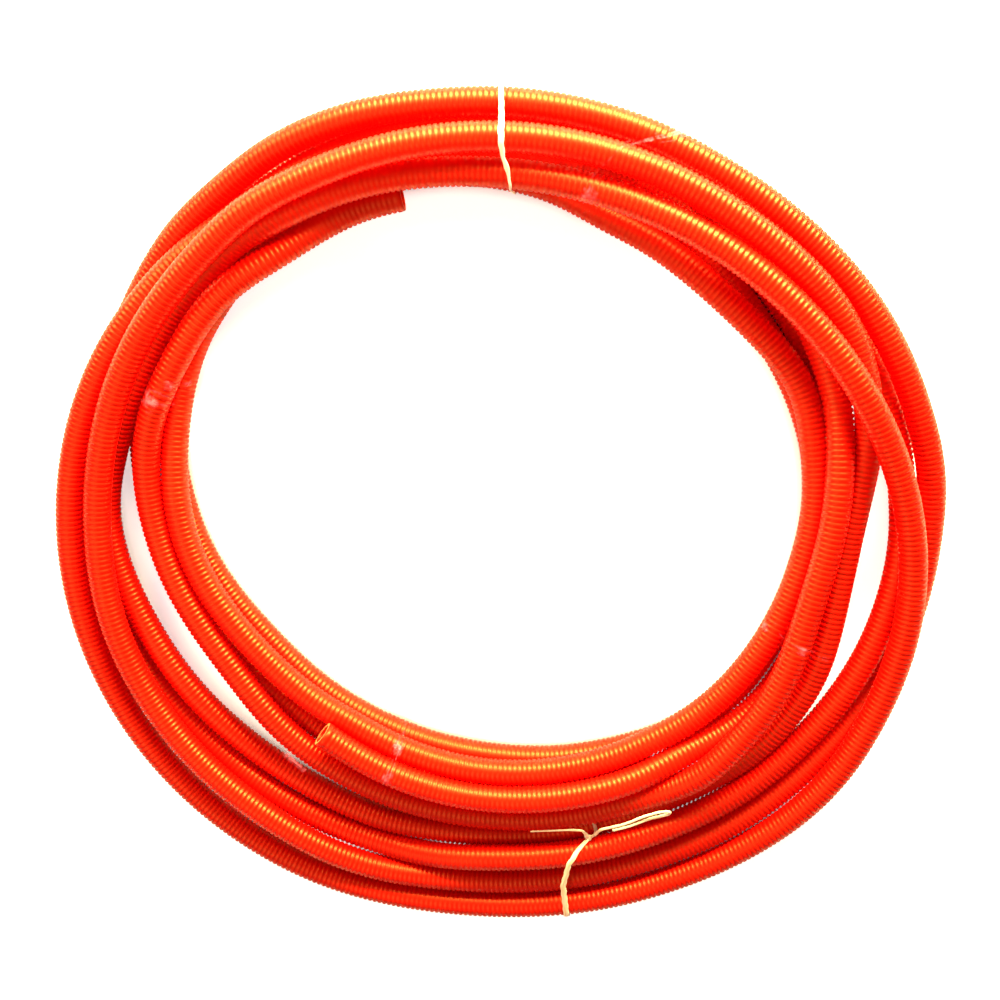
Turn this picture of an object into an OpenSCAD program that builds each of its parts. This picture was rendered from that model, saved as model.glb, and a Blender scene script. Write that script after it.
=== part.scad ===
// Coil of corrugated flexible conduit: two bundles of turns, the larger one laid
// partly on top of the smaller one, held by two strings and four wraps of thin film.
// Origin: middle of the footprint, at floor level. The coil lies flat, its axis along +Z.
// Angles are measured anticlockwise from +X, seen from above, about the bundle's own centre.

/* [Conduit] */
// Outside diameter of the conduit over its ribs
conduit_od = 16; // [13:0.5:20]
// Clear bore of the conduit
conduit_bore = 11.5; // [8:0.5:12]
// Straight stretch at the free end that lies on top
end_straight = 20; // [10:1:35]

/* [Outer bundle] */
// Outside diameter of the larger bundle of turns
outer_d = 514; // [420:2:620]

/* [Inner bundle] */
// Gap at the sides between this bundle and the larger one round it
side_gap = 12; // [6:0.5:16]
// How far the smaller bundle's centre lies behind the larger one's
inner_back = 26; // [20:1:32]
// Angle of the cut face of the free end that lies on top
top_end_angle = 237; // [225:1:240]
// Angle at which that turn's other end stops, under the outer bundle
top_turn_stop = 60; // [45:1:65]
// Angle of the cut face of the free end at the bottom
low_end_angle = 108; // [100:1:115]
// Angle at which the bottom inner turn's other end stops
low_turn_stop = 85; // [75:1:95]

/* [String ties] */
// Width of a string pressed flat
string_w = 3; // [2:0.1:5]
// Thickness of a string pressed flat
string_t = 1; // [0.6:0.1:2]
// Angle of the string round the whole coil
back_string_angle = 90; // [86:1:94]
// Angle of the string round the outer bundle
front_string_angle = 284; // [275:1:290]
// Diameter of that string's knot
knot_d = 6; // [4:0.5:9]
// Length of the knot's tail to the left
tail_left = 40; // [20:1:60]
// Length of the knot's tail to the right
tail_right = 48; // [20:1:70]

/* [Film wraps] */
// Thickness of a wrap of bunched stretch film
film_t = 0.5; // [0.3:0.1:0.9]
// Width of a wrap of film
film_w = 8; // [5:1:14]
// Angle of the wrap round the whole coil
film_back_angle = 70; // [62:1:76]
// Angle of the wrap on the left of the inner bundle
film_left_angle = 165; // [150:1:175]
// Angle of the wrap at the front of the inner bundle
film_front_angle = 251; // [250:1:258]
// Angle of the wrap on the right of the inner bundle
film_right_angle = 338; // [320:1:345]

/* [Hidden] */
$fn = 96;
wrap_fn = 32;

// Neighbouring turns of a bundle bite into each other by this much, so that they are one solid
bite = 0.4;
// Clearance between pieces that lie on each other
gap = 0.3;
// The wrap round both bundles crosses the inner one at a slant, and stands off it by a little more
film_gap = 0.6;
conduit_r = conduit_od / 2;
pitch = conduit_od - bite;
// The turns lie on the strings' lower runs, which lie on the floor
base = string_t + gap;

// Centre radii of the turns
outer_r1 = outer_d / 2 - conduit_r;
outer_r0 = outer_r1 - pitch;
inner_r1 = outer_r0 - conduit_od - side_gap;
inner_r0 = inner_r1 - pitch;
// Height of the loose top turn's centre over the bottom turn that it lies on
top_turn_h = conduit_od + gap;

// The outer bundle leans back on the inner one, hinged at its front edge.
// Plan place of the centre of a turn that stands h over the bundle's lower layer
function turn_y(h, tilt) = outer_r1 * (cos(tilt) - 1) - h * sin(tilt);
// Where a vertical plane at angle a through the outer bundle's centre meets the turn: [distance, height]
function cut_at(r, h, cy, tilt, a) =
    let (ry = r * cos(tilt),
         qa = pow(cos(a) / r, 2) + pow(sin(a) / ry, 2),
         qb = -2 * cy * sin(a) / pow(ry, 2),
         qc = pow(cy / ry, 2) - 1,
         u = (-qb + sqrt(qb * qb - 4 * qa * qc)) / (2 * qa))
    [u, base + conduit_r + h * cos(tilt)
        + (tilt == 0 ? 0 : ((u * sin(a) - cy) / cos(tilt) + outer_r1) * sin(tilt))];

// The lean is as steep as it takes for the outer bundle's inner bottom turn to clear the inner
// bundle's outer top turn, and 0 where the inner bundle lies clear inside it. How far apart the
// two turns are in plan depends a little on the lean itself, so it is worked out in three passes
function plan_gap(tilt, a) = cut_at(outer_r0, 0, turn_y(0, tilt), tilt, a)[0]
    - cut_at(inner_r1, 0, inner_back, 0, a)[0];
function rise_needed(tilt, a) = pitch
    + sqrt(pow(conduit_od + gap, 2) - pow(plan_gap(tilt, a), 2));
function lean_from(tilt) = max([0, for (a = [10:2:90]) if (plan_gap(tilt, a) < conduit_od)
    asin(rise_needed(tilt, a) / (outer_r0 * sin(a) + outer_r1))]);
lean = lean_from(lean_from(lean_from(0)));
function outer_cut(r, h, a) = cut_at(r, h, turn_y(h, lean), lean, a);
// A bundle's section in that plane: the [distance, height] of each turn that is there. A turn that
// ends less than half a wrap's width away still counts, because the wrap goes round it
function outer_section(a) = [for (r = [outer_r0, outer_r1], h = [0, pitch]) outer_cut(r, h, a)];
wrap_reach = asin((max(film_w, string_w) / 2 + gap) / inner_r0);
function inner_turns(a) = [[inner_r1, 0], [inner_r1, pitch],
    if (a < low_turn_stop + wrap_reach || a > low_end_angle - wrap_reach) [inner_r0, 0],
    if (a < top_turn_stop + wrap_reach || a > top_end_angle - wrap_reach) [inner_r0, top_turn_h]];
function inner_section(a, cy) = [for (t = inner_turns(a)) cut_at(t[0], t[1], cy, 0, a)];

// The footprint's middle is the origin
front_y = min(-outer_r1 - pitch * sin(lean), -outer_r1) - conduit_r;
back_y = outer_cut(outer_r1, 0, 90)[0] + conduit_r + gap + string_t;
shift_y = -(front_y + back_y) / 2;

// One turn of conduit: its centre line has radius r and height h, and runs from angle a0 to a1
module turn(r, h, a0 = 0, a1 = 360) {
    rotate([0, 0, a0])
        rotate_extrude(angle = a1 - a0)
            translate([r, h]) circle(r = conduit_r);
}

// A conduit's bore, drilled along the tangent into a cut face at angle a. dir is 1 where the
// conduit runs anticlockwise from the face, and -1 where it runs clockwise
module end_bore(r, h, a, dir, depth) {
    rotate([0, 0, a])
        translate([r, 0, h])
            rotate([-90 * dir, 0, 0])
                translate([0, 0, -1])
                    cylinder(d = conduit_bore, h = depth + 1);
}

module outer_coil() {
    square_core = [[outer_r0, 0], [outer_r1, pitch]];
    color("orangered")
        translate([0, shift_y - outer_r1, base + conduit_r])
            rotate([lean, 0, 0])
                translate([0, outer_r1, 0])
                    rotate_extrude() {
                        for (r = [outer_r0, outer_r1], h = [0, pitch])
                            translate([r, h]) circle(r = conduit_r);
                        translate(square_core[0])
                            square(square_core[1] - square_core[0]);
                    }
}

// The loose turn on top: an arc, and a straight stretch at its free end
module top_turn() {
    straight_angle = end_straight / inner_r0 * 180 / PI;
    arc_start = top_end_angle + straight_angle;
    difference() {
        union() {
            turn(inner_r0, top_turn_h, arc_start, 360 + top_turn_stop);
            rotate([0, 0, arc_start])
                translate([inner_r0, 0, top_turn_h])
                    rotate([90, 0, 0])
                        cylinder(r = conduit_r, h = end_straight);
        }
        rotate([0, 0, arc_start])
            translate([inner_r0, -end_straight - 1, top_turn_h])
                rotate([-90, 0, 0])
                    cylinder(d = conduit_bore, h = end_straight + 1);
        end_bore(inner_r0, top_turn_h, top_turn_stop, -1, conduit_r);
    }
}

module inner_coil() {
    color("orangered")
        translate([0, shift_y + inner_back, base + conduit_r]) {
            difference() {
                union() {
                    turn(inner_r1, 0);
                    turn(inner_r1, pitch);
                    turn(inner_r0, 0, low_end_angle, 360 + low_turn_stop);
                }
                end_bore(inner_r0, 0, low_end_angle, 1, conduit_r);
                end_bore(inner_r0, 0, low_turn_stop, -1, conduit_r);
            }
            top_turn();
        }
}

// A closed wrap drawn tight round conduits whose centres are [distance, height] in the
// upright plane at angle a through a centre that lies back behind the outer bundle's
module wrap(section, a, back, clearance, thickness, width) {
    translate([0, shift_y + back, 0])
        rotate([90, 0, a])
            linear_extrude(width, center = true)
                difference() {
                    hull() for (c = section)
                        translate(c) circle(r = conduit_r + clearance + thickness, $fn = wrap_fn);
                    hull() for (c = section)
                        translate(c) circle(r = conduit_r + clearance, $fn = wrap_fn);
                }
}

module back_string() {
    a = back_string_angle;
    color("ivory")
        wrap(concat(outer_section(a), inner_section(a, inner_back)), a, 0, gap, string_t, string_w);
}

module front_string() {
    a = front_string_angle;
    knot_at = outer_cut(outer_r0, pitch, a);
    color("wheat") {
        wrap(outer_section(a), a, 0, gap, string_t, string_w);
        translate([0, shift_y, 0])
            rotate([0, 0, a])
                translate([knot_at[0], 0, knot_at[1] + conduit_r + gap + knot_d / 2]) {
                    sphere(d = knot_d);
                    rotate([90, 0, 0]) cylinder(d = string_t, h = tail_left);
                    rotate([-90, 0, 0]) cylinder(d = string_t, h = tail_right);
                }
    }
}

module film_back() {
    a = film_back_angle;
    color("lavenderblush", 0.5)
        wrap(concat(outer_section(a), inner_section(a, inner_back)), a, 0, film_gap, film_t, film_w);
}

module film_round_inner(a) {
    color("lavenderblush", 0.5)
        wrap(inner_section(a, 0), a, inner_back, gap, film_t, film_w);
}

module film_left() {
    film_round_inner(film_left_angle);
}

module film_front() {
    film_round_inner(film_front_angle);
}

module film_right() {
    film_round_inner(film_right_angle);
}

outer_coil();
inner_coil();
back_string();
front_string();
film_back();
film_left();
film_front();
film_right();
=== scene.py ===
import math

import bmesh
import bpy
import numpy as np
from mathutils import Matrix, Vector, noise


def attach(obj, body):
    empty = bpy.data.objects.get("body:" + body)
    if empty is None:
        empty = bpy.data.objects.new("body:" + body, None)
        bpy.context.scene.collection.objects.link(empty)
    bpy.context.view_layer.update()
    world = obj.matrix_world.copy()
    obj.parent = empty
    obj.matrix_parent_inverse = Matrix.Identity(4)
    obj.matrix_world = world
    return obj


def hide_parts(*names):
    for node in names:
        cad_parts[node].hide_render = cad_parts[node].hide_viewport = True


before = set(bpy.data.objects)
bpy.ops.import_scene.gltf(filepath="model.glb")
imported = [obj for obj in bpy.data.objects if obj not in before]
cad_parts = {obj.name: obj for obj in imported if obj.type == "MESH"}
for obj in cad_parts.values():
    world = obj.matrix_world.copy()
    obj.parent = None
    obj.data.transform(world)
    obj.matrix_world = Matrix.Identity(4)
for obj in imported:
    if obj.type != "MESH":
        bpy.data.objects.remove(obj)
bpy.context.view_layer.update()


# ---- The two lengths of conduit ------------------------------------------------------------
# Corrugated flexible conduit, 16 mm over its ribs, extruded in a thin orange plastic and formed
# into ribs 3 mm apart in a running mould. Two lengths are wound together by hand into one loose
# coil, each from a sawn end that shows, so turns climb over and dive under one another.
CONDUIT = 0.016       # over the ribs
BORE = 0.0115
RIB = 0.00305         # from rib to rib
GROOVE = 0.0008       # depth of the grooves between ribs
DRAWN_BORE = 0.030    # how far in from an end its bore is made
LIE = 0.009           # height of a bottom turn's centre: its radius, and a string under it
STEP = 2              # degrees between the stations at which the turns are settled
SIDES = 14            # flats round a ring of the mesh

# Each length's way round its turns, as (degrees anticlockwise, mm from the middle, mm high).
long_turns = [
    (105.5, 203, 24), (120, 206, 26), (135, 209, 32), (150, 205, 37), (165, 205, 31),
    (180, 197.5, 25), (210, 174.5, 25), (240, 174, 19), (270, 174, 19), (300, 179, 24),
    (330, 185, 36), (360, 187, 37), (390, 213, 29), (420, 227, 25), (450, 238, 21),
    (480, 236, 22), (495, 236, 24), (510, 241, 31), (540, 249, 27), (570, 254, 16),
    (600, 251.5, 9), (630, 241.5, 9), (660, 245, 9), (675, 248, 14), (690, 247, 21),
    (720, 239, 37), (750, 223, 52), (780, 212, 51), (810, 210, 41), (840, 218, 37),
    (870, 224, 24), (885, 224.5, 21), (900, 231.5, 16), (915, 220.5, 15), (930, 210, 16),
    (945, 202.5, 12), (960, 198, 9), (975, 195.5, 9), (990, 193, 9), (1005, 194, 9),
    (1020, 196, 9), (1050, 204, 18), (1080, 202, 25), (1090, 207, 28), (1100, 216, 33),
    (1110, 229, 39), (1140, 229, 51), (1170, 228, 52), (1200, 227, 52), (1230, 227, 46),
    (1260, 229, 34), (1275, 231, 31), (1290, 231, 25), (1305, 228, 24), (1320, 224.5, 21),
    (1335, 226, 14), (1350, 222.5, 12), (1365, 224, 10), (1380, 227, 9), (1395, 233, 9),
    (1410, 239.5, 9), (1440, 250.5, 11), (1470, 250, 30), (1500, 244, 39), (1530, 246, 37),
    (1560, 246.5, 29), (1575, 246.5, 19), (1590, 246, 10), (1605, 246, 9), (1620, 244, 9),
    (1635, 238, 9), (1650, 229, 9), (1665, 221, 9), (1680, 217, 9), (1695, 212, 10),
    (1710, 200, 20), (1725, 200, 20), (1740, 204, 17), (1770, 221, 16), (1800, 234, 21),
    (1815, 239, 16), (1830, 238.5, 12), (1845, 240, 10), (1866, 243, 9)]
short_turns = [
    (231, 149, 36), (240, 150, 36), (270, 154, 34), (300, 162, 34), (330, 185, 18),
    (360, 199, 9), (390, 210, 9), (405, 214, 9), (420, 222, 9), (450, 224, 25), (480, 221, 24),
    (510, 204, 22), (540, 182, 25), (570, 154, 25), (600, 140, 23), (630, 141, 24),
    (660, 148, 25), (690, 163, 23), (720, 180, 24), (735, 192.5, 25), (750, 199, 25),
    (765, 194.5, 23), (780, 195, 20), (795, 204.5, 13), (810, 210, 9), (840, 218, 9),
    (870, 213, 9), (900, 183, 9), (930, 151, 9), (945, 143.5, 9), (960, 138.5, 9),
    (975, 137, 9), (990, 138, 9), (1020, 150, 9), (1050, 172, 9), (1080, 184.5, 9),
    (1095, 195.5, 9), (1110, 198, 9), (1125, 199, 9), (1140, 205, 9), (1170, 224, 9),
    (1200, 239, 9), (1230, 231, 9), (1260, 203, 9), (1290, 176, 9), (1320, 161, 9),
    (1350, 161, 9), (1380, 171, 9), (1390, 174, 9)]


def smooth_through(knots):
    """Angles every STEP degrees, with distance and height in metres, eased through the knots."""
    x, r, z = np.array(knots, float).T
    a = np.arange(math.ceil(x[0] / STEP) * STEP, x[-1] + 0.01, STEP)
    i = np.clip(np.searchsorted(x, a) - 1, 0, len(x) - 2)
    h = x[i + 1] - x[i]
    t = (a - x[i]) / h

    def eased(y):
        """A cubic through the knots, with the slope at each taken from its neighbours."""
        m = np.gradient(y, x)
        return ((2 * t**3 - 3 * t**2 + 1) * y[i] + (t**3 - 2 * t**2 + t) * h * m[i]
                + (3 * t**2 - 2 * t**3) * y[i + 1] + (t**3 - t**2) * h * m[i + 1]) / 1000
    return a, eased(r), eased(z)


def settle(lengths):
    """Lets the turns come to rest on one another, about a diameter apart or more, and none in
    the floor. In each round they push apart, ease back towards their knots and bend as stiff
    tube."""
    rounds, last_rounds = 500, 150
    apart, push_share, pull, stiffness, slack = CONDUIT * 1.012, 0.42, 0.05, 0.35, 0.02
    parts = [smooth_through(k) for k in lengths]
    angle, r, z = (np.concatenate(c) for c in zip(*parts))
    own = np.repeat(range(len(parts)), [len(p[0]) for p in parts])
    r_aim, z_aim = r.copy(), z.copy()
    station = np.round(angle / STEP).astype(int) % (360 // STEP)
    deep = np.bincount(station).max()
    table = -np.ones((360 // STEP, deep), int)
    for s in range(360 // STEP):
        here = np.where(station == s)[0]
        table[s, :len(here)] = here
    there = table >= 0
    pick = np.where(there, table, 0)
    both = there[:, :, None] & there[:, None, :] & ~np.eye(deep, dtype=bool)
    for n in range(rounds):
        rr, zz = r[pick], z[pick]
        dr = rr[:, :, None] - rr[:, None, :]
        dz = zz[:, :, None] - zz[:, None, :]
        d = np.sqrt(dr**2 + dz**2) + 1e-9
        push = np.clip(apart - d, 0, None) * both * push_share / d
        r[table[there]] += (push * dr).sum(2)[there]
        z[table[there]] += (push * dz).sum(2)[there]
        ease = 1 if n < rounds - last_rounds else 0.25
        r += pull * (r_aim - r) * ease
        z += pull * (z_aim - z) * ease
        for k in range(len(parts)):
            m = own == k
            for v in (r, z):
                bend = v[m]
                lap = np.zeros_like(bend)
                lap[1:-1] = (bend[:-2] + bend[2:] - 2 * bend[1:-1]) / 2
                stiff = np.zeros_like(bend)
                stiff[2:-2] = -(lap[1:-3] + lap[3:-1] - 2 * lap[2:-2]) / 2
                bend[1:-1] += (stiffness * stiff + slack * lap)[1:-1]
                v[m] = bend
        z = np.maximum(z, LIE)
    return [(angle[own == k], r[own == k], z[own == k]) for k in range(len(parts))]


lies = settle([long_turns, short_turns])


def open_to_light(lies):
    """How much of what each side of a turn faces is open air, not another turn or the floor. It
    sets how much painted shade the conduit's colour takes there.
    """
    angle, r, z = (np.concatenate(c) for c in zip(*lies))
    station = np.round(angle / STEP).astype(int) % (360 // STEP)
    turn = np.linspace(0, 2 * math.pi, SIDES, endpoint=False)
    fan = np.radians(np.arange(-75, 76, 15))
    way = turn[:, None] + fan[None, :]
    weight = np.cos(fan)
    ray = np.stack([np.cos(way), np.sin(way)], -1)
    off_floor = np.where(ray[..., 1] < -0.15, 0.4, 1.0)   # a white floor sends some light back
    found = np.zeros((len(r), SIDES))
    for s in range(360 // STEP):
        here = np.where(station == s)[0]
        for i in here:
            start = np.stack([r[i] + CONDUIT / 2 * np.cos(turn),
                              z[i] + CONDUIT / 2 * np.sin(turn)], -1)
            clear = off_floor
            for j in here[here != i]:
                to = np.array([r[j], z[j]]) - start
                ahead = (ray * to[:, None, :]).sum(-1)
                off = np.abs(ray[..., 0] * to[:, None, 1] - ray[..., 1] * to[:, None, 0])
                clear = np.where((ahead > 0) & (off < CONDUIT / 2), 0.0, clear)
            found[i] = (clear * weight).sum(1) / weight.sum()
    split = np.cumsum([len(lie[0]) for lie in lies])[:-1]
    return np.split(found, split)


openness = open_to_light(lies)


def srgb(code, alpha=1.0):
    """A paint-chart colour such as "ff6a1a" as the linear numbers that a shader takes."""
    rgb = [int(code[i:i + 2], 16) / 255 for i in (0, 2, 4)]
    return [c / 12.92 if c <= 0.04045 else ((c + 0.055) / 1.055) ** 2.4 for c in rgb] + [alpha]


def add(mat, kind, links=(), **values):
    """Adds a shader node. links are (socket in, node out, socket out), and values set its
    sockets or settings."""
    node = mat.node_tree.nodes.new(kind)
    for name, value in values.items():
        if hasattr(node, name):
            setattr(node, name, value)
        else:
            node.inputs[name.replace("_", " ")].default_value = value
    for into, source, out in links:
        mat.node_tree.links.new(source.outputs[out], node.inputs[into])
    return node


def ramp(mat, source, out, stops):
    """A colour ramp node on that output. stops are (place, colour)."""
    node = add(mat, "ShaderNodeValToRGB", [("Fac", source, out)])
    marks = node.color_ramp.elements
    while len(marks) < len(stops):
        marks.new(0.5)
    for mark, (place, colour) in zip(marks, stops):
        mark.position, mark.color = place, colour
    return node


def bare_material(name):
    """A material with no nodes yet."""
    mat = bpy.data.materials.new(name)
    mat.use_nodes = True
    mat.node_tree.nodes.clear()
    return mat


# Orange polypropylene as moulded: saturated and a little translucent, with a satin sheen that
# runs as one soft golden line along each turn. Its colour is painted a deeper red where other
# turns,
# the floor or its own grooves close it in: painted shade, for the light that reaches it there
# only off its neighbours. Its tone drifts over about 17 mm of the run, and its grain is drawn at
# about
# 1 mm so that it shows.
orange = bare_material("orange_polypropylene")
place = add(orange, "ShaderNodeTexCoord")
rib_way = add(orange, "ShaderNodeMapping", [("Vector", place, "UV")], Scale=(60, 1.5, 1))
batch = add(orange, "ShaderNodeTexNoise", [("Vector", rib_way, "Vector")], Scale=1.0, Detail=3.0)
tint = ramp(orange, batch, "Fac", [(0.3, srgb("d20c02")), (0.7, srgb("da1303"))])
opened = add(orange, "ShaderNodeAttribute", attribute_name="open_to_light")
# Painted shade: the less open a place is, the more its colour turns to the deep red below.
depth = ramp(orange, opened, "Fac", [(0.35, (0, 0, 0, 1)), (1.0, (1, 1, 1, 1))])
MIX_A, MIX_B, MIX_OUT = 6, 7, 2     # the colour sockets of a Mix node
painted_shade_hue = add(orange, "ShaderNodeMix", [("Factor", depth, "Color"), (MIX_B, tint, "Color")],
          data_type="RGBA")
painted_shade_hue.inputs[MIX_A].default_value = srgb("dc0503")
grain = add(orange, "ShaderNodeTexNoise", [("Vector", place, "Object")], Scale=900.0, Detail=2.0)
fine = add(orange, "ShaderNodeBump", [("Height", grain, "Fac")], Strength=0.12, Distance=0.0003)
plastic = add(orange, "ShaderNodeBsdfPrincipled",
              [("Base Color", painted_shade_hue, MIX_OUT), ("Normal", fine, "Normal")],
              Roughness=0.38, Specular_IOR_Level=0.65, Specular_Tint=(1.0, 0.52, 0.16, 1.0))
through = add(orange, "ShaderNodeBsdfTranslucent", Color=srgb("e61b03"))
wall = add(orange, "ShaderNodeMixShader", [(1, plastic, "BSDF"), (2, through, "BSDF")], Fac=0.3)
add(orange, "ShaderNodeOutputMaterial", [("Surface", wall, "Shader")])

# The sawn rim of an end: the same plastic, paler where the saw has scuffed it, in marks 0.7 mm
# apart.
sawn = bare_material("sawn_polypropylene")
place = add(sawn, "ShaderNodeTexCoord")
marks = add(sawn, "ShaderNodeTexNoise", [("Vector", place, "Object")], Scale=1500.0, Detail=3.0)
tint = ramp(sawn, marks, "Fac", [(0.35, srgb("ee5526")), (0.65, srgb("fb8450"))])
plastic = add(sawn, "ShaderNodeBsdfPrincipled", [("Base Color", tint, "Color")], Roughness=0.6)
add(sawn, "ShaderNodeOutputMaterial", [("Surface", plastic, "BSDF")])


def new_piece(name, points, faces, *materials):
    """A smooth object of those points and faces, standing at the origin."""
    mesh = bpy.data.meshes.new(name)
    mesh.from_pydata(np.array(points).tolist(), [], faces)
    for mat in materials:
        mesh.materials.append(mat)
    for poly in mesh.polygons:
        poly.use_smooth = True
    piece = bpy.data.objects.new(name, mesh)
    bpy.context.scene.collection.objects.link(piece)
    return piece


def tube(name, rings, along, closed, *materials):
    """A tube through those rings of points, closed on itself or capped at its ends. Its UV map
    has the way along it, in metres, and the share of the way round."""
    count, sides = len(rings), len(rings[0])
    faces = []
    for k in range(count if closed else count - 1):
        m = (k + 1) % count
        faces += [(k * sides + j, m * sides + j, m * sides + (j + 1) % sides,
                   k * sides + (j + 1) % sides) for j in range(sides)]
    if not closed:
        faces += [tuple(range(sides)), tuple(count * sides - 1 - j for j in range(sides))]
    piece = new_piece(name, np.concatenate(rings), faces, *materials)
    turned = bmesh.new()
    turned.from_mesh(piece.data)
    bmesh.ops.recalc_face_normals(turned, faces=turned.faces)
    turned.to_mesh(piece.data)
    turned.free()
    at_vertex = np.array([loop.vertex_index for loop in piece.data.loops])
    flat = np.stack([np.repeat(along, sides)[at_vertex],
                     np.tile(np.arange(sides) / sides, count)[at_vertex]], 1)
    piece.data.uv_layers.new(name="UVMap").data.foreach_set("uv", flat.ravel())
    return piece


def run_along(points):
    """How far along the line each of its points lies."""
    return np.concatenate([[0], np.cumsum(np.linalg.norm(np.diff(points, axis=0), axis=1))])


def conduit(name, lie, opened):
    """One length of conduit along its settled way: three rings to a rib, and bored ends."""
    angle, r, z = lie
    a = np.radians(angle)
    way = np.stack([r * np.cos(a), r * np.sin(a), z], 1)
    run = run_along(way)
    ribs = int(run[-1] / RIB)
    fine_s = np.arange(0, run[-1], 0.001)
    fine_way = np.stack([np.interp(fine_s, run, way[:, k]) for k in range(3)], -1)
    for _ in range(60):     # rounds off the stations' corners over about 5 mm
        fine_way[1:-1] = (fine_way[:-2] + 2 * fine_way[1:-1] + fine_way[2:]) / 4
    tangent = np.gradient(fine_way, fine_s, axis=0)
    tangent /= np.linalg.norm(tangent, axis=1, keepdims=True)

    def stand_at(s):
        """The middle of the tube at s along it, its direction, and outwards and upwards."""
        p = np.array([np.interp(s, fine_s, fine_way[:, k]) for k in range(3)])
        t = np.array([np.interp(s, fine_s, tangent[:, k]) for k in range(3)])
        t /= np.linalg.norm(t)
        out = np.cross(t, (0, 0, 1))
        out /= np.linalg.norm(out)
        return p, t, out, np.cross(out, t)

    crest, valley, bore = CONDUIT / 2, CONDUIT / 2 - GROOVE, BORE / 2
    rim = 0.0004          # the rim's edge inwards, and how far it stands over the grooves
    # Painted shade: a groove's colour is darkened by this share.
    groove_light = 0.65   # share of the light that reaches into a groove
    turn = np.linspace(0, 2 * math.pi, SIDES, endpoint=False)
    rings, along, light = [], [], []

    def ring(s, radius):
        """Adds the ring of that radius at s along the conduit, with the share of light that sets
        its painted shade.
        """
        p, t, out, up = stand_at(s)
        rings.append(p + radius * (np.cos(turn)[:, None] * out + np.sin(turn)[:, None] * up))
        along.append(s)
        at_station = np.interp(s, run, np.arange(len(run)))
        low = int(at_station)
        high = min(low + 1, len(run) - 1)
        lit = opened[low] + (opened[high] - opened[low]) * (at_station - low)
        light.append(lit if radius > valley else lit * groove_light)

    ring(DRAWN_BORE, bore * 0.98)
    ring(rim, bore)
    ring(0.0, bore)
    ring(0.0, valley + rim)
    for k in range(1, ribs - 1):        # a crest 1.4 mm wide, then a groove
        for along_rib, radius in ((-0.00080, crest), (0.00062, crest), (0.00145, valley)):
            ring(k * RIB + along_rib, radius)
    end = (ribs - 1) * RIB - 0.001
    ring(end, valley + rim)
    ring(end, bore)
    ring(end - rim, bore)
    ring(end - DRAWN_BORE, bore * 0.98)

    piece = tube(name, rings, along, False, orange, sawn)
    mesh = piece.data
    mesh.attributes.new("open_to_light", "FLOAT", "POINT").data.foreach_set(
        "value", np.concatenate(light))
    for k in (2, len(rings) - 4):       # the sawn faces
        for j in range(SIDES):
            mesh.polygons[k * SIDES + j].material_index = 1
            mesh.polygons[k * SIDES + j].use_smooth = False
    centres = [stand_at(k * RIB)[0] for k in range(ribs)]
    return piece, centres, (ribs - 1) * RIB


for name, lie, opened, node in (("conduit_long", lies[0], openness[0], "outer_coil"),
                                ("conduit_short", lies[1], openness[1], "inner_coil")):
    piece, centres, length = conduit(name, lie, opened)
    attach(piece, "root")
    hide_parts(node)


# ---- The white string at the back ------------------------------------------------------------
# A flat white polypropylene twine drawn once round the whole coil. It is pulled tight, so it
# bridges from turn to turn, and narrows where it goes down inside.
def turns_at(angle):
    """Where the turns cross that angle: the distance and height of each one's centre."""
    places = []
    for way, r, z in lies:
        places += [(np.interp(at, way, r), np.interp(at, way, z))
                   for at in np.arange(angle % 360, way[-1], 360) if at >= way[0]]
    return places


def pulled_tight(places, off):
    """The shortest line round those turns, off from their ribs, as (distance, height) corners."""
    ring = np.radians(np.arange(0, 360, 7.5))
    dots = sorted((r + (CONDUIT / 2 + off) * math.cos(t), z + (CONDUIT / 2 + off) * math.sin(t))
                  for r, z in places for t in ring)
    corners = []
    for order in (dots, dots[::-1]):
        line = []
        for p in order:
            while len(line) > 1 and ((line[-1][0] - line[-2][0]) * (p[1] - line[-2][1])
                                     <= (line[-1][1] - line[-2][1]) * (p[0] - line[-2][0])):
                line.pop()
            line.append(p)
        corners += line[:-1]
    return np.array(corners + corners[:1])


def wound_round(holds, crossing, off, count):
    """A closed way tight round the turns that holds picks. crossing is (distance, angle) pairs
    along it. Gives its points, which way is outwards at each, and each one's distance from the
    middle."""
    distance, angle = np.array(crossing, float).T
    middle = float(angle.mean())
    hub = np.mean([p for p in turns_at(middle) if holds(*p)], axis=0)
    rays = np.linspace(-math.pi, math.pi, count, endpoint=False)

    def reach(at):
        """How far from the hub the tight line lies along each ray, at that angle."""
        line = pulled_tight([p for p in turns_at(at) if holds(*p)], off)
        run = run_along(line)
        steps = np.linspace(0, run[-1], 500, endpoint=False)
        dots = np.stack([np.interp(steps, run, line[:, k]) for k in (0, 1)], 1) - hub
        return np.interp(rays, np.arctan2(dots[:, 1], dots[:, 0]), np.hypot(*dots.T),
                         period=2 * math.pi)

    first = hub[0] + reach(middle) * np.cos(rays)
    at = np.interp(first, distance, angle)
    stations = np.linspace(angle.min() - 0.01, angle.max() + 0.01, 7)
    reaches = np.array([reach(s) for s in stations])
    out = np.array([np.interp(a, stations, reaches[:, k]) for k, a in enumerate(at)])
    r, z = hub[0] + out * np.cos(rays), hub[1] + out * np.sin(rays)
    normal = np.stack([np.roll(z, -1) - np.roll(z, 1), np.roll(r, 1) - np.roll(r, -1)], 1)
    normal /= np.linalg.norm(normal, axis=1, keepdims=True)
    a = np.radians(at)
    points = np.stack([r * np.cos(a), r * np.sin(a), z], 1)
    outward = np.stack([normal[:, 0] * np.cos(a), normal[:, 0] * np.sin(a), normal[:, 1]], 1)
    return points, outward, r


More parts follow.
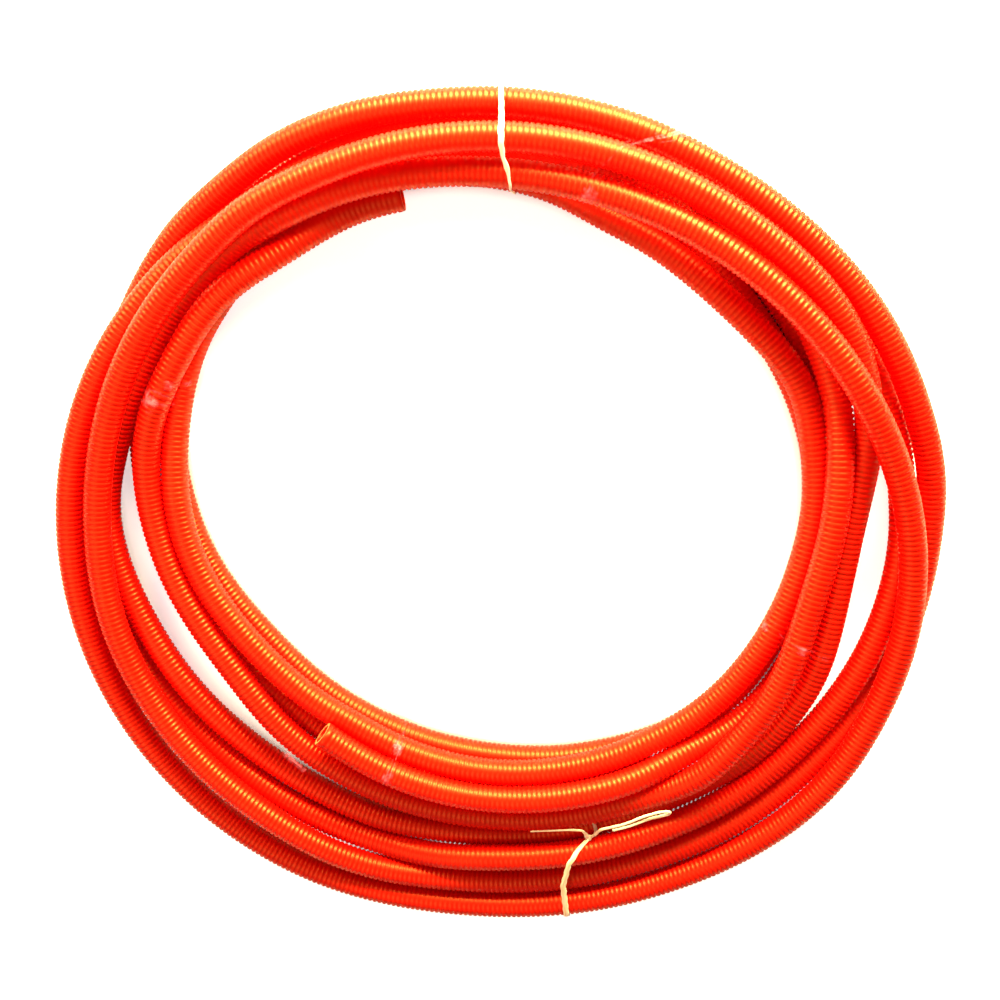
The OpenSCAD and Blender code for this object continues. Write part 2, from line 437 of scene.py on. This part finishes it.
def flat_string(name, points, outward, width, thick, closed, mat):
    """A flattened string: an oval ring at each station, swelling a little where one of its three
    strands passes, which is every 7 mm."""
    step = np.roll(points, -1, 0) - np.roll(points, 1, 0)
    if not closed:
        step[0], step[-1] = points[1] - points[0], points[-1] - points[-2]
    step /= np.linalg.norm(step, axis=1, keepdims=True)
    beside = np.cross(step, outward)
    beside /= np.linalg.norm(beside, axis=1, keepdims=True)
    face = np.cross(beside, step)
    turn = np.linspace(0, 2 * math.pi, 10, endpoint=False)
    run = run_along(points)
    twist, off_floor = 900, 0.00005     # radians a metre, and metres
    rings = []
    for p, b, f, w, h, s in zip(points, beside, face, width, thick, run):
        strands = 1 + 0.10 * np.cos(3 * turn + s * twist)
        x, y = w / 2 * np.cos(turn) * strands, h / 2 * np.sin(turn) * strands
        ring = p + x[:, None] * b + y[:, None] * f
        ring[:, 2] = np.maximum(ring[:, 2], off_floor)
        rings.append(ring)
    return tube(name, rings, run, closed, mat)


def twine(name, pale, dark):
    """Spun twine: strands about 11 mm long and a twelfth of the way round broad, soft and a
    little translucent. Its colour is painted a shade darker where the strands' bump sinks:
    painted shade in the grooves between them."""
    mat = bare_material(name)
    place = add(mat, "ShaderNodeTexCoord")
    along = add(mat, "ShaderNodeMapping", [("Vector", place, "UV")],
                Scale=(90, 12, 1), Rotation=(0, 0, 0.04))
    strands = add(mat, "ShaderNodeTexNoise", [("Vector", along, "Vector")], Scale=1.0, Detail=4.0)
    # Painted shade: the same noise that raises the strands darkens the low places between them.
    tint = ramp(mat, strands, "Fac", [(0.3, srgb(dark)), (0.6, srgb(pale))])
    raised = add(mat, "ShaderNodeBump", [("Height", strands, "Fac")],
                 Strength=0.7, Distance=0.0004)
    spun = add(mat, "ShaderNodeBsdfPrincipled",
               [("Base Color", tint, "Color"), ("Normal", raised, "Normal")],
               Roughness=0.5, Specular_IOR_Level=0.4, Sheen_Weight=0.2)
    through = add(mat, "ShaderNodeBsdfTranslucent", [("Color", tint, "Color")])
    body = add(mat, "ShaderNodeMixShader", [(1, spun, "BSDF"), (2, through, "BSDF")], Fac=0.25)
    add(mat, "ShaderNodeOutputMaterial", [("Surface", body, "Shader")])
    return mat


# White polypropylene twine: bright, with a faint gloss on its strands.
white_twine = twine("white_polypropylene_twine", "fffaf2", "e9ddcf")
STRING = 0.0010       # thickness of a string pressed flat
STRING_OFF = 0.0006   # how far off the ribs its middle lies


def every_turn(r, z):
    """Picks all the turns."""
    return True


points, outward, out_at = wound_round(
    every_turn,
    [(0.2040, 88.8), (0.2125, 89.3), (0.2165, 89.8), (0.2226, 90.1), (0.2368, 90.3),
     (0.2540, 90.8)], STRING_OFF, 220)
# It is pinched where it goes over a turn's edge and opens flat on top.
width = np.interp(out_at, [0.200, 0.2085, 0.2126, 0.2165, 0.2215, 0.232, 0.240, 0.256],
                  [0.0014, 0.0016, 0.0030, 0.0020, 0.0028, 0.0034, 0.0028, 0.0026])
string = flat_string("string_back", points, outward, width, np.full(len(width), STRING), True,
                     white_twine)
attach(string, "root")
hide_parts("back_string")
way = np.concatenate([points, points[:1]])


# ---- The straw-coloured string at the front --------------------------------------------------
# A length of straw-coloured jute twine tied round the larger bundle only. Its knot sits in the
# groove beside the smaller bundle. One tail lies straight to the left and the other is doubled
# back.
def laid_on(angle, r, off):
    """Height of something thin that lies across the turns at that place, off from their ribs."""
    reach = 0.022         # it rests only on the turns next to it
    near = [p for p in turns_at(angle) if abs(p[0] - r) < reach]
    line = pulled_tight(near, off)
    top = line[np.argmax(line[:, 0]):]
    return float(np.interp(r, top[::-1, 0], top[::-1, 1]))


# Jute: paler than sacking, painted darker between its strands, as shade in the grooves there.
straw_twine = twine("straw_jute_twine", "fff1da", "f7cf98")


def outer_turns(r, z):
    """Picks the turns that the front string holds together."""
    return r > 0.192


points, outward, out_at = wound_round(
    outer_turns,
    [(0.1920, 292.8), (0.1935, 291.0), (0.1970, 289.0), (0.2048, 286.8), (0.2212, 284.8),
     (0.2495, 284.0)], STRING_OFF, 170)
# The loop is made to begin at the knot, on top of the turns, and to go outwards from there.
knot = np.argmin(np.abs(out_at - 0.1935) + (points[:, 2] < 0.02))
points, outward, out_at = (np.roll(v, -knot, axis=0) for v in (points, outward, out_at))
if points[8, 2] < points[-8, 2]:
    points, outward, out_at = points[::-1], outward[::-1], out_at[::-1]

# Each tail's way, as (angle, distance from the middle, lift off the turns).
left_tail = [
    (281.2, 0.1792, 0.0012), (283.0, 0.1797, 0.0008), (285.0, 0.1804, 0.0006),
    (287.0, 0.1811, 0.0006), (289.0, 0.1822, 0.0006), (291.0, 0.1838, 0.0012)]
right_tail = [
    (294.4, 0.1862, 0.0018), (296.5, 0.1872, 0.0012), (298.5, 0.1882, 0.0010),
    (300.4, 0.1882, 0.0014), (302.4, 0.1876, 0.0020), (304.2, 0.1882, 0.0024),
    (305.8, 0.1894, 0.0022), (307.0, 0.1914, 0.0018), (307.5, 0.1937, 0.0014),
    (306.7, 0.1944, 0.0012), (305.2, 0.1928, 0.0012), (303.4, 0.1912, 0.0014),
    (301.6, 0.1908, 0.0016), (299.6, 0.1908, 0.0012), (297.6, 0.1902, 0.0010),
    (296.2, 0.1894, 0.0010)]


def on_turns(angle, r, off, lift):
    """The point at that angle and distance that lies on the turns, off from them and lifted."""
    a = math.radians(angle)
    return np.array((r * math.cos(a), r * math.sin(a), laid_on(angle, r, off) + lift))


def tail_points(tail):
    """The points of a tail, where it lies on the turns."""
    return np.array([on_turns(a, r, STRING_OFF, lift) for a, r, lift in tail])


before, after = tail_points(left_tail), tail_points(right_tail)
up = np.array((0.0, 0.0, 1.0))
way = np.concatenate([before, points, after])
faces_out = np.concatenate([np.tile(up, (len(before), 1)), outward, np.tile(up, (len(after), 1))])
breadth = np.concatenate([np.linspace(0.0010, 0.0014, len(before)),
                          np.interp(out_at, [0.192, 0.199, 0.22, 0.25],
                                    [0.0022, 0.0030, 0.0034, 0.0036]),
                          np.full(len(after), 0.0017)])
run = run_along(way)
steps = np.arange(0, run[-1], 0.0007)
way = np.stack([np.interp(steps, run, way[:, k]) for k in range(3)], 1)
faces_out = np.stack([np.interp(steps, run, faces_out[:, k]) for k in range(3)], 1)
width = np.interp(steps, run, breadth)
for _ in range(6):
    way[1:-1] = (way[:-2] + 2 * way[1:-1] + way[2:]) / 4
    faces_out[1:-1] = (faces_out[:-2] + 2 * faces_out[1:-1] + faces_out[2:]) / 4
string = flat_string("string_front", way, faces_out, width, np.minimum(width * 0.8, STRING),
                     False, straw_twine)

# The knot is a trefoil, which is what an overhand knot is, drawn up small.
t = np.linspace(0, 2 * math.pi, 72, endpoint=False)
tied_at = points[0] + outward[0] * 0.0012
loops = np.stack([np.sin(t) + 2 * np.sin(2 * t), np.cos(t) - 2 * np.cos(2 * t),
                  -np.sin(3 * t)], 1) / 3
line = tied_at + loops @ np.array([(0.0026, 0, 0), (0, 0.0019, 0), (0, 0, 0.0012)])
knot_piece = flat_string("string_knot", line, np.tile(up, (len(t), 1)) + 0.01 * loops,
                         np.full(len(t), 0.0011), np.full(len(t), 0.0009), True, straw_twine)
for piece in (string, knot_piece):
    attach(piece, "root")
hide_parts("front_string")


# ---- The film wraps --------------------------------------------------------------------------
# Clear polyethylene stretch film, torn off short, bunched into a band by hand and stuck to itself
# round a bundle. It nearly vanishes where it lies flat, and shows only where it folds.

# Clear film: see-through where it lies flat, milky and glossy along its folds. Its colour is
# painted pink there, a painted reflection of the red conduit behind it. Its creases are about
# 2.4 mm apart.
clear_film = bare_material("clear_polyethylene_film")
folded = add(clear_film, "ShaderNodeAttribute", attribute_name="fold")
place = add(clear_film, "ShaderNodeTexCoord")
creases = add(clear_film, "ShaderNodeTexNoise", [("Vector", place, "Object")],
              Scale=420.0, Detail=3.0)
both = add(clear_film, "ShaderNodeMath", [(0, folded, "Fac"), (1, creases, "Fac")],
           operation="MULTIPLY")
milky = ramp(clear_film, both, "Value", [(0.18, (0, 0, 0, 1)), (0.85, (0.32, 0.32, 0.32, 1))])
crinkle = add(clear_film, "ShaderNodeBump", [("Height", creases, "Fac")],
              Strength=0.5, Distance=0.0006)
# Painted reflection: the pink stands in for the conduit's red seen in the film.
film_with_painted_pink = add(clear_film, "ShaderNodeBsdfPrincipled", [("Normal", crinkle, "Normal")],
           Base_Color=srgb("ff7d98"), Roughness=0.3, IOR=1.51)
clear = add(clear_film, "ShaderNodeBsdfTransparent")
film = add(clear_film, "ShaderNodeMixShader",
           [(0, milky, "Color"), (1, clear, "BSDF"), (2, film_with_painted_pink, "BSDF")])
add(clear_film, "ShaderNodeOutputMaterial", [("Surface", film, "Shader")])


def film_strip(name, centre, outward, width, tufts, closed):
    """A strip of thin film along those points: its edges wander, it is pleated along its run, and
    it is crumpled up at the tufts, each (point, height, breadth)."""
    step = np.roll(centre, -1, 0) - np.roll(centre, 1, 0)
    if not closed:
        step[0], step[-1] = centre[1] - centre[0], centre[-1] - centre[-2]
    beside = np.cross(step / np.linalg.norm(step, axis=1, keepdims=True), outward)
    across = 13           # points across the strip
    flat_below = 0.004    # height under which it is pressed flat by the turns on it
    points, folds = [], []
    for k, (p, n, b) in enumerate(zip(centre, outward, beside)):
        for j in range(across):
            u = j / (across - 1) - 0.5
            edge = noise.noise(Vector((k * 0.11, u * 3, 5.1))) * 0.25
            spot = p + b * width * u * (1 + edge)
            pleat = abs(noise.noise(Vector((u * 9, k * 0.045, 1.7))))
            crumple = abs(noise.noise(Vector((u * 4, k * 0.33, 8.3))))
            lift, fold = 0.0002 + 0.0008 * pleat, 0.16 + 0.5 * pleat
            for place, height, breadth in tufts:
                near = math.exp(-((spot - place) ** 2).sum() / breadth ** 2)
                lift += near * height * (0.35 + 1.3 * crumple)
                fold += near * (0.3 + 0.9 * crumple)
            lift *= min(1.0, max(0.1, p[2] / flat_below))
            points.append(spot + n * lift)
            folds.append(min(1.0, fold))
    rows = len(centre)
    faces = [(k * across + j, (k + 1) % rows * across + j,
              (k + 1) % rows * across + j + 1, k * across + j + 1)
             for k in range(rows if closed else rows - 1) for j in range(across - 1)]
    piece = new_piece(name, points, faces, clear_film)
    piece.data.attributes.new("fold", "FLOAT", "POINT").data.foreach_set("value", folds)
    return piece


FILM = 0.00008        # thickness, a few layers of stretch film pressed together


def tuft(angle, r, height, breadth):
    """A crumpled place of the film, over the turns there."""
    return on_turns(angle, r, 0.0003, 0.001), height, breadth


def small_turns(limit):
    """Picks the turns that lie closer to the middle than that."""
    def holds(r, z):
        return r < limit
    return holds


for name, node, holds, crossing, width, tufts in (
        ("film_wrap_back", "film_back", every_turn,
         [(0.200, 77.0), (0.215, 77.0), (0.236, 74.0), (0.253, 68.5)], 0.010,
         [tuft(77.3, 0.2045, 0.0010, 0.005), tuft(68.5, 0.251, 0.002, 0.005)]),
        ("film_wrap_left", "film_left", small_turns(0.2195),
         [(0.190, 156.2), (0.202, 157.0), (0.222, 158.5)], 0.022,
         [tuft(154.5, 0.2011, 0.004, 0.0035), tuft(158.1, 0.2065, 0.0035, 0.0045),
          tuft(153.3, 0.1955, 0.003, 0.003)]),
        ("film_wrap_front", "film_front", small_turns(0.168),
         [(0.120, 247.9), (0.134, 249.3), (0.157, 250.0)], 0.0065,
         [tuft(249.4, 0.1345, 0.0008, 0.004), tuft(249.7, 0.1505, 0.0008, 0.004),
          tuft(247.9, 0.1215, 0.0008, 0.003)]),
        ("film_wrap_right", "film_right", small_turns(0.216),
         [(0.163, 348.3), (0.179, 347.2), (0.197, 346.5), (0.210, 345.9)], 0.011,
         [tuft(347.0, 0.1861, 0.0012, 0.003), tuft(348.0, 0.1655, 0.001, 0.0025)])):
    centre, outward, _ = wound_round(holds, crossing, 0.0002, 190)
    wrap = film_strip(name, centre, outward, width, tufts, True)
    if name == "film_wrap_front":
        # A torn shred of it lies along the edge of the gap beside the free end.
        shred = np.array([on_turns(a, r, 0.0003, 0.0006) for a, r in (
            (229.2, 0.1815), (230.0, 0.1822), (230.8, 0.1826), (231.6, 0.1828),
            (232.4, 0.1830), (233.2, 0.1830), (234.0, 0.1834), (234.8, 0.1840))])
        loose = film_strip("shred", shred, np.tile(up, (len(shred), 1)), 0.004,
                           [(p, 0.001, 0.003) for p in shred[1::2]], False)
        bpy.ops.object.select_all(action="DESELECT")
        loose.select_set(True)
        wrap.select_set(True)
        bpy.context.view_layer.objects.active = wrap
        bpy.ops.object.join()
    bpy.ops.object.select_all(action="DESELECT")
    wrap.select_set(True)
    bpy.context.view_layer.objects.active = wrap
    wall = wrap.modifiers.new("film", "SOLIDIFY")
    wall.thickness, wall.offset = FILM, 0
    bpy.ops.object.modifier_apply(modifier=wall.name)
    length = float(np.linalg.norm(np.roll(centre, -1, 0) - centre, axis=1).sum())
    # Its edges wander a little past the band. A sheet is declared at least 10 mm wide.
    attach(wrap, "root")
    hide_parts(node)


# ---- Floor, light and camera ---------------------------------------------------------------
# The coil lies on a plain white studio floor, under a strong soft light from behind, two weaker
# ones and a warm surround that fills its shade. The camera looks almost straight down on it.
bpy.ops.mesh.primitive_plane_add(size=8, location=(0, 0, -0.0004))
floor = bpy.context.object
floor.name = "floor"
# White laminate: matt, and made to glow up to paper white for the camera, except in the narrow
# slits between turns, where the glow fades and its colour is painted a deep red: painted shade,
# in the red of the light that comes off the conduit.
white = bare_material("white_laminate")
open_floor = add(white, "ShaderNodeAmbientOcclusion", samples=4, Distance=0.014)
# Painted shade: in the narrow slits the floor's colour turns deep red, and below, its glow is
# taken away.
paint = ramp(white, open_floor, "AO", [(0.22, srgb("7c1208")), (0.47, srgb("e9e7e4"))])
matt = add(white, "ShaderNodeBsdfDiffuse", [("Color", paint, "Color")])
lift_by = ramp(white, open_floor, "AO", [(0.28, (0, 0, 0, 1)), (0.66, (0.75, 0.75, 0.75, 1))])
glow = add(white, "ShaderNodeEmission", [("Strength", lift_by, "Color")])
seen = add(white, "ShaderNodeLightPath")
lift = add(white, "ShaderNodeAddShader", [(0, matt, "BSDF"), (1, glow, "Emission")])
laminate = add(white, "ShaderNodeMixShader",
               [("Fac", seen, "Is Camera Ray"), (1, matt, "BSDF"), (2, lift, "Shader")])
add(white, "ShaderNodeOutputMaterial", [("Surface", laminate, "Shader")])
floor.data.materials.append(white)

world = bpy.data.worlds.new("white_surround")
bpy.context.scene.world = world
world.use_nodes = True
world.node_tree.nodes.clear()
fill = add(world, "ShaderNodeBackground", Color=(1, 0.6, 0.5, 1), Strength=0.4)
plain = add(world, "ShaderNodeBackground", Color=(1, 1, 1, 1), Strength=1.0)
seen = add(world, "ShaderNodeLightPath")
shown = add(world, "ShaderNodeMixShader",
            [("Fac", seen, "Is Camera Ray"), (1, fill, "Background"), (2, plain, "Background")])
add(world, "ShaderNodeOutputWorld", [("Surface", shown, "Shader")])

for name, size, energy, colour, place in (
        ("softbox_over", (0.9, 0.6), 8, (0.95, 0.66, 0.4), (-0.50, -0.40, 0.95)),
        ("softbox_behind", (0.8, 0.35), 112, (0.84, 0.86, 0.42), (0.18, 0.86, 0.40)),
        ("softbox_left", (0.5, 0.3), 17, (0.82, 0.86, 0.42), (-0.62, 0.66, 0.45))):
    lamp = bpy.data.lights.new(name, "AREA")
    lamp.shape, lamp.size, lamp.size_y = "RECTANGLE", size[0], size[1]
    lamp.energy, lamp.color = energy, colour
    softbox = bpy.data.objects.new(name, lamp)
    bpy.context.scene.collection.objects.link(softbox)
    softbox.location = place
    towards = Vector((0, 0.15, 0)) - Vector(place)
    softbox.rotation_euler = towards.to_track_quat("-Z", "Y").to_euler()

eye, aim = Vector((0.0538, 0.1996, 0.7070)), Vector((0.0057, 0.0294, 0.0268))
ahead = (aim - eye).normalized()
side = ahead.cross(Vector((0, 1, 0))).normalized()
over = side.cross(ahead)
roll = 0.05
right = math.cos(roll) * side + math.sin(roll) * over
top = math.cos(roll) * over - math.sin(roll) * side
camera_data = bpy.data.cameras.new("camera")
camera_data.lens, camera_data.sensor_width = 44.2, 36
camera = bpy.data.objects.new("camera", camera_data)
bpy.context.scene.collection.objects.link(camera)
camera.matrix_world = Matrix((
    (right.x, top.x, -ahead.x, eye.x), (right.y, top.y, -ahead.y, eye.y),
    (right.z, top.z, -ahead.z, eye.z), (0, 0, 0, 1)))
bpy.context.scene.camera = camera
bpy.context.scene.view_settings.view_transform = "Standard"
